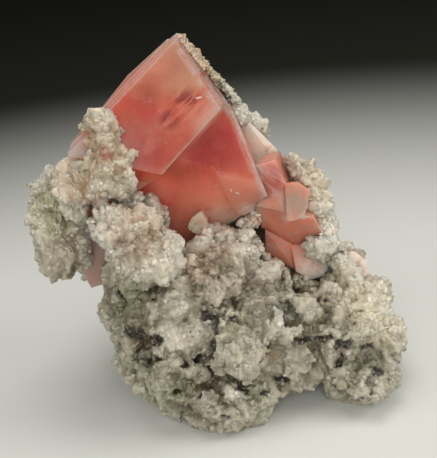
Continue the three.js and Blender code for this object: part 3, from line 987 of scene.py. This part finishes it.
# centre, radius, share and colour of the zones of the octahedron
CORAL_ZONES = (
    ((-2.5, -1.0, 40.5), 6.5, 1.0, (176, 116, 92)),
    ((-7.0, -6.0, 34.0), 4.0, 0.8, (176, 86, 58)),
    ((-6.5, -4.8, 36.2), 2.6, 0.7, CORAL_DEEP),
    ((-1.4, -4.8, 30.8), 3.4, 1.0, CORAL_DEEP),
    ((3.2, -4.4, 31.4), 3.4, 0.8, CORAL_DEEP),
    ((-6.8, -7.4, 31.6), 3.8, 1.0, (170, 44, 22)),
    ((-6.0, -3.3, 38.2), 3.0, 0.9, (160, 84, 66)),
    # painted light: these four zones lighten the shaded lower faces, for the light that shines out
    # through the crystal
    ((-5.0, 1.0, 21.5), 8.5, 1.0, CORAL_PAINTED_GLOW),
    ((1.0, -3.0, 23.5), 7.0, 1.0, CORAL_PAINTED_GLOW),
    ((-5.8, -3.3, 26.4), 4.0, 1.0, (255, 124, 104)),
    ((1.2, -3.4, 21.8), 3.0, 0.9, (255, 168, 144)),
    ((-7.2, -6.8, 28.9), 2.0, 0.7, (214, 120, 96)),
    ((-1.7, -2.7, 37.7), 2.8, 0.8, (192, 142, 114)),
    ((2.6, -4.6, 25.6), 2.6, 0.6, CORAL_PEACH),
    # partly the pale flake's own colour, partly a painted highlight
    ((3.8, -5.2, 23.0), 1.5, 1.0, (255, 238, 222)),
    ((-15.0, -8.0, 33.0), 4.0, 1.0, FROST_MAUVE),
)
# the same for the salmon and the mauve crystals
SALMON_ZONES = (
    ((6.8, -2.8, 25.4), 3.2, 1.0, (158, 68, 50)),
    ((10.0, -4.4, 23.0), 3.2, 1.0, (170, 145, 128)),
    ((8.7, -4.4, 21.2), 1.1, 0.9, FROST),
    ((10.4, -4.8, 21.1), 1.2, 0.9, FROST),
    ((11.6, -3.8, 14.6), 3.4, 1.0, (244, 200, 182)),
    ((7.0, -4.4, 22.0), 2.0, 0.5, CORAL_DEEP),
    ((5.5, -3.8, 18.5), 2.4, 0.8, DARK_RED),
)
MAUVE_ZONES = (((-14.8, -3.1, 24.0), 3.0, 1.0, DARK_RED),)
GROWTH = Vector((0.72, 0.1, -0.68)).normalized()  # growth lines of the right crystals
STEP_POINT = (1.8, -2.1, 34.1)  # on the edge between the upper plate and the sunken face
VEIN_POINT = (-1.5, -3.9, 36.0)  # on the upper plate
STEP_BORDER = (-0.3, -0.1)  # where they meet, as distances from that edge towards the plate
# centre and radius of the places with dark veins, and the noise where a vein is darkest
VEINS = (((-1.6, -3.8, 36.2), 2.4, 0.55), ((-3.9, -5.2, 34.7), 1.8, 0.53))
# centre and radius of the places with light streaks, the bright band, the dark growth lines,
# the dark ridge, the frost at the top, and the fine cracks
LIGHT_STREAKS = ((-1.2, -4.0, 34.6), 4.5)
BRIGHT_BAND = ((0.6, -3.2, 34.8), 5.2)
GROWTH_LINES = ((-0.6, -4.8, 31.4), 4.5)
DARK_RIDGE = ((0.8, -4.2, 29.6), 5.0)
TOP_FROST = ((0.4, 0.4, 39.5), 5.5)
HAIRLINES = (((-6.0, -4.6, 36.4), 2.4), ((-2.6, -2.9, 22.5), 2.2))
LINES_LENGTHWISE = Vector((0.1, 0.5, -0.86))  # the dark growth lines on the sunken face
LINES_ACROSS = Vector((0.98, 0.1, 0.18))
# direction, distance from the octahedron's centre and softness of the parts near its faces
ABOVE_RIDGE = (FRONT, 6.5, 0.04)
LAST_LAYER = (LOWER, 6.7, 0.1)
LEFT_STRIP = (LEFT, 9.2, 0.12)
WORN_CORNER = (WORN, 9.1, 0.25)
RIGHT_SIDE = (RIGHT, 8.5, 0.5)
RIGHT_TOP = (RIGHT, 8.7, 0.15)
OUTER_EDGES = ((RIGHT, 8.6, 0.2), (LEFT, 8.6, 0.2))
# painted highlights, small bright glints on the faces: centre, direction, half length and half
# width
PAINTED_GLINTS = (
    ((-0.3, -3.3, 36.4), (1.0, 0.1, 0.12), 0.45, 0.11),
    ((2.2, -5.6, 25.7), (0.6, -0.3, -0.7), 0.24, 0.07),
    ((2.9, -5.6, 25.3), (0.9, -0.3, -0.2), 0.3, 0.06),
)


def close_up(piece, neighbour):
    """Moves the corners that lie close to a neighbour onto it: the two have grown together."""
    tree = tree_of(neighbour)
    for corner in piece.data.vertices:
        place, facing, _, distance = tree.find_nearest(corner.co)
        if distance < CLOSE_REACH * MM:
            corner.co = place + facing * JUST_OFF * MM


def crystal_piece(node, material, edge_material):
    """A fluorite crystal with narrow worn edges in a material of their own."""
    piece = copied_node(node, node + "_crystal")
    with edited(piece.data) as mesh:
        bmesh.ops.remove_doubles(mesh, verts=mesh.verts, dist=CRYSTAL_JOIN)
        bmesh.ops.dissolve_limit(mesh, angle_limit=FLAT_ANGLE, verts=mesh.verts,
                                 edges=mesh.edges)
    if node == "fluorite_right":
        close_up(piece, "fluorite_main")
    bevel = piece.modifiers.new("bevel", "BEVEL")
    bevel.width = EDGE_WIDTH * MM
    bevel.segments = 2
    bevel.limit_method = "ANGLE"
    bevel.angle_limit = EDGE_ANGLE
    bevel.material = 1
    piece.data.materials.append(material)
    piece.data.materials.append(edge_material)
    apply_modifiers(piece)
    return piece


def small_patch(s, centre, lengthwise, length, width):
    """1 in a small elongated patch on a crystal face."""
    across = Vector(lengthwise).cross(FRONT)
    total = 0.0
    for direction, size in ((Vector(lengthwise), length), (across, width)):
        start = Vector(centre).dot(direction.normalized())
        away = s.math("DIVIDE", s.math("SUBTRACT", s.along(direction), start), size)
        total = s.math("ADD", s.times(away, away), total)
    return s.times(s.ramp(total, 0.6, 1.0, 1.0, 0.0), s.near(centre, 2 * length, 0.9))


def past(s, direction, distance, soft):
    """1 where the point lies further than a distance from the octahedron's centre."""
    start = OCTAHEDRON_CENTRE.dot(direction) + distance
    return s.ramp(s.along(direction), start - soft, start + soft)


def fluorite_base(name, main, zones):
    """The colour that all the fluorite starts from: a main colour, zones and soft clouds."""
    s = Shader(name)
    colour = s.zoned(main, zones, 0.2, s.warped())
    cloudy = s.ramp(s.cloud(3.4, 3.0, 0.5), 0.42, 0.68)
    colour = s.tinted(colour, CORAL_PEACH, cloudy, 0.3)
    wisps = s.ramp(s.cloud(1.5, 4.0, 0.6, 0.8), 0.54, 0.72)
    colour = s.tinted(colour, main, wisps, 0.35)
    flecks = s.times(s.ramp(s.cloud(0.3, 2.0), 0.6, 0.68), s.ramp(s.cloud(2.6, 2.0), 0.45, 0.6))
    return s, s.tinted(colour, FROST, flecks, 0.1)


def fluorite_finish(s, colour, frosted, clear, density, deep, crack_places=()):
    """Roughness, cracks and light inside the crystal. The frosted share is pale and rough."""
    ridge = s.math("ABSOLUTE", s.math("SUBTRACT", s.cloud(3.4, 1.5, warp=0.6), 0.5))
    cracked = 0.0
    for centre, radius in crack_places:
        cracked = s.math("MAXIMUM", s.near(centre, radius), cracked)
    cracks = s.times(s.ramp(ridge, 0.0, 0.008, 1.0, 0.0), cracked)
    colour = s.tinted(colour, FROST, cracks, 0.16)
    grain = s.ramp(s.cloud(0.35, 3.0, 0.6), 0.4, 0.6)
    white = s.times(frosted, s.math("ADD", 0.6, s.times(grain, 0.4)))
    colour = s.mix(white, colour, FROST_MAUVE)
    uneven = s.ramp(s.cloud(0.8, 3.0), 0.3, 0.8, FLUORITE_ROUGH, FLUORITE_ROUGH + 0.12)
    dull = s.times(s.math("MAXIMUM", frosted, cracks), 0.35)
    s.set(Base_Color=colour, Roughness=s.math("ADD", uneven, dull), IOR=FLUORITE_INDEX)
    s.set(Transmission_Weight=0.18, Subsurface_Weight=1.0, Subsurface_Radius=FLUORITE_SCATTER)
    s.set(Subsurface_Scale=deep * MM)
    waves = s.bump(s.cloud(1.1, 3.0, 0.5), 0.05 * MM, 0.5)
    s.set(Normal=s.bump(s.times(grain, frosted), 0.05 * MM, 0.7, waves))
    absorb = s.new("VolumeAbsorption", Color=clear, Density=density)
    s.links.new(absorb.outputs[0], s.nodes["Material Output"].inputs["Volume"])
    return s.material


def veined(s, colour, streaks):
    """Dark veins and light streaks on the upper plate."""
    veins = 0.0
    for centre, radius, darkest in VEINS:
        vein = s.times(s.ramp(streaks, 0.47, darkest), s.near(centre, radius, 0.2))
        veins = s.math("MAXIMUM", vein, veins)
    colour = s.tinted(colour, VEIN, veins, 0.85)
    light = s.times(s.ramp(streaks, 0.5, 0.36), s.near(*LIGHT_STREAKS, 0.2))
    return s.tinted(colour, CORAL_PEACH, light, 0.55)


def stepped(s, colour, streaks, across):
    """The step between the upper plate and the sunken face below it, down to the ridge."""
    inward = s.math("SUBTRACT", s.along(across), Vector(STEP_POINT).dot(across))
    if (Vector(VEIN_POINT) - Vector(STEP_POINT)).dot(across) < 0:
        inward = s.times(inward, -1.0)
    plate = s.ramp(inward, *STEP_BORDER)
    below = s.ramp(inward, *STEP_BORDER, 1.0, 0.0)
    # a bright band on the upper plate, along its lower right edge
    band = s.times(s.times(s.ramp(inward, 0.3, 2.4, 1.0, 0.0), plate),
                   s.near(*BRIGHT_BAND, 0.3))
    band = s.times(band, s.ramp(streaks, 0.3, 0.6, 0.4, 1.0))
    colour = s.tinted(colour, BAND_PINK, band, 0.8)
    # dark growth lines on the sunken face
    lines = s.streaks(LINES_LENGTHWISE, LINES_ACROSS, 3.0, 0.45)
    sunken = s.times(s.ramp(lines, 0.45, 0.7), s.near(*GROWTH_LINES, 0.4))
    colour = s.tinted(colour, VEIN, s.times(sunken, below), 0.55)
    # the sunken face is deepest just above the ridge, where its last growth layer ends
    above = past(s, *ABOVE_RIDGE)
    deepest = s.times(s.times(above, below), s.near(*DARK_RIDGE, 0.35))
    colour = s.tinted(colour, RIDGE_DEEP, deepest, 0.55)
    layer = s.times(past(s, *LAST_LAYER), s.math("SUBTRACT", 1.0, above))
    return s.tinted(colour, LAYER_PINK, layer, 0.7)


def frosted_places(s):
    """1 where the octahedron is frosted: its worn corner, its right side and its left edge."""
    strip = past(s, *LEFT_STRIP)
    worn = s.times(past(s, *WORN_CORNER), s.ramp(s.cloud(0.9, 3.0), 0.35, 0.55))
    lines = s.streaks(FRONT.cross(RIGHT), RIGHT, 3.0, 0.3)
    side = s.times(past(s, *RIGHT_SIDE), s.ramp(lines, 0.3, 0.6, 0.25, 1.0))
    top = s.times(past(s, *RIGHT_TOP), s.near(*TOP_FROST, 0.7))
    side = s.math("MAXIMUM", side, s.times(top, 0.85))
    return s.math("MAXIMUM", s.math("MAXIMUM", s.times(strip, 0.5), worn), side)


def coral_material():
    s, colour = fluorite_base("fluorite_coral", CORAL, CORAL_ZONES)
    across = FRONT.cross(STEP_EDGE)
    streaks = s.streaks(STEP_EDGE, across, 4.5, 0.9, 4.0)
    colour = veined(s, colour, streaks)
    colour = stepped(s, colour, streaks, across)
    frosted = frosted_places(s)
    # painted highlights on the faces
    for glint in PAINTED_GLINTS:
        colour = s.mix(small_patch(s, *glint), colour, FROST)
    return fluorite_finish(s, colour, frosted, CORAL_CLEAR, density=15.0, deep=16.0,
                           crack_places=HAIRLINES)


def edge_material(name, main):
    s = Shader(name)
    outer = s.math("MAXIMUM", *[past(s, *part) for part in OUTER_EDGES])
    patchy = s.ramp(s.cloud(1.2, 3.0), 0.35, 0.65)
    worn = s.times(outer, patchy)
    colour = s.mix(s.math("ADD", s.times(patchy, 0.1), s.times(worn, 0.7)), main, FROST)
    s.set(Base_Color=colour, Roughness=0.4, IOR=FLUORITE_INDEX)
    s.set(Subsurface_Weight=0.8, Subsurface_Radius=(1.0, 0.6, 0.55), Subsurface_Scale=1.5 * MM)
    s.set(Normal=s.bump(s.cloud(0.3, 3.0), 0.06 * MM, 0.8))
    return s.material


def paler_fluorite(name, main, zones, clear, density, streaked=0.0):
    s, colour = fluorite_base(name, main, zones)
    streaks = s.ramp(s.streaks(GROWTH, GROWTH.orthogonal(), 5.0, 0.45, 4.0), 0.5, 0.64)
    colour = s.tinted(colour, FROST_MAUVE, streaks, streaked)
    frosted = s.times(s.ramp(s.cloud(2.2, 4.0, 0.6), 0.52, 0.66), 0.7)
    return fluorite_finish(s, colour, frosted, clear, density, deep=4.0)


def make_crystals():
    edges = edge_material("fluorite_edges", CORAL_EDGE)
    salmon_edges = edge_material("fluorite_salmon_edges", SALMON_EDGE)
    pale_edges = edge_material("fluorite_pale_edges", PALE_EDGE)
    coral = coral_material()
    salmon = paler_fluorite("fluorite_salmon", SALMON, SALMON_ZONES, SALMON_CLEAR, density=25.0,
                            streaked=0.4)
    pale = paler_fluorite("fluorite_pale", PALE, (), PALE_CLEAR, density=15.0)
    mauve = paler_fluorite("fluorite_mauve", MAUVE_SHADED, MAUVE_ZONES, MAUVE_CLEAR, density=60.0)
    for node, material, edge, slot in (
        ("fluorite_main", coral, edges, "fluorite_coral"),
        ("fluorite_right", salmon, salmon_edges, "fluorite_salmon"),
        ("fluorite_back", pale, pale_edges, "fluorite_pale"),
        ("fluorite_left", mauve, pale_edges, "fluorite_mauve"),
        ("fluorite_low_right", pale, pale_edges, "fluorite_pale"),
    ):
        piece = crystal_piece(node, material, edge)
        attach(piece, "root")
        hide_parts(node)


def make_floor():
    data = bpy.data.meshes.new("floor")
    with edited(data) as mesh:
        bmesh.ops.create_circle(mesh, cap_ends=True, segments=96, radius=FLOOR_RADIUS * MM)
    floor = new_object("floor", data)
    floor.location.z = FLOOR_HEIGHT
    s = Shader("floor_paper")
    flat = s.vector("MULTIPLY", s.place, (1, 1, 0))
    # painted shade: pale in the middle, dark further out
    fade = s.near((0, 0, 0), FLOOR_DARK_FROM, FLOOR_PALE_TO / FLOOR_DARK_FROM, flat)
    colour = s.mix(fade, FLOOR_FAR_SHADE, FLOOR_PALE)
    s.set(Base_Color=colour, Roughness=0.9, Specular_IOR_Level=0.0)
    data.materials.append(s.material)


make_camera()
make_lights()
make_floor()
rock = make_rock()
rock_material = quartz_material("quartz_matrix", roughness=0.35, clear=0.2, deep=2.2, grainy=False)
rock.data.materials.append(rock_material)
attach(rock, "root")
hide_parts("matrix")
grain_material = quartz_material("quartz_grains", roughness=0.3, clear=0.12, deep=0.25, grainy=True)
crust_material = quartz_material("quartz_crust", roughness=0.4, clear=0.05, deep=0.25, grainy=True)
grains = make_grains(rock) + [make_big_quartz(rock)]
crusts = [make_crust(), make_edge_crust(), make_foot_crystal()]
crusts += [make_cluster(*cluster) for cluster in CLUSTERS]
for pieces, material in ((grains, grain_material), (crusts, crust_material)):
    for piece in pieces:
        piece.data.materials.append(material)
        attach(piece, "root")
make_crystals()
bpy.context.scene.view_settings.view_transform = "Standard"
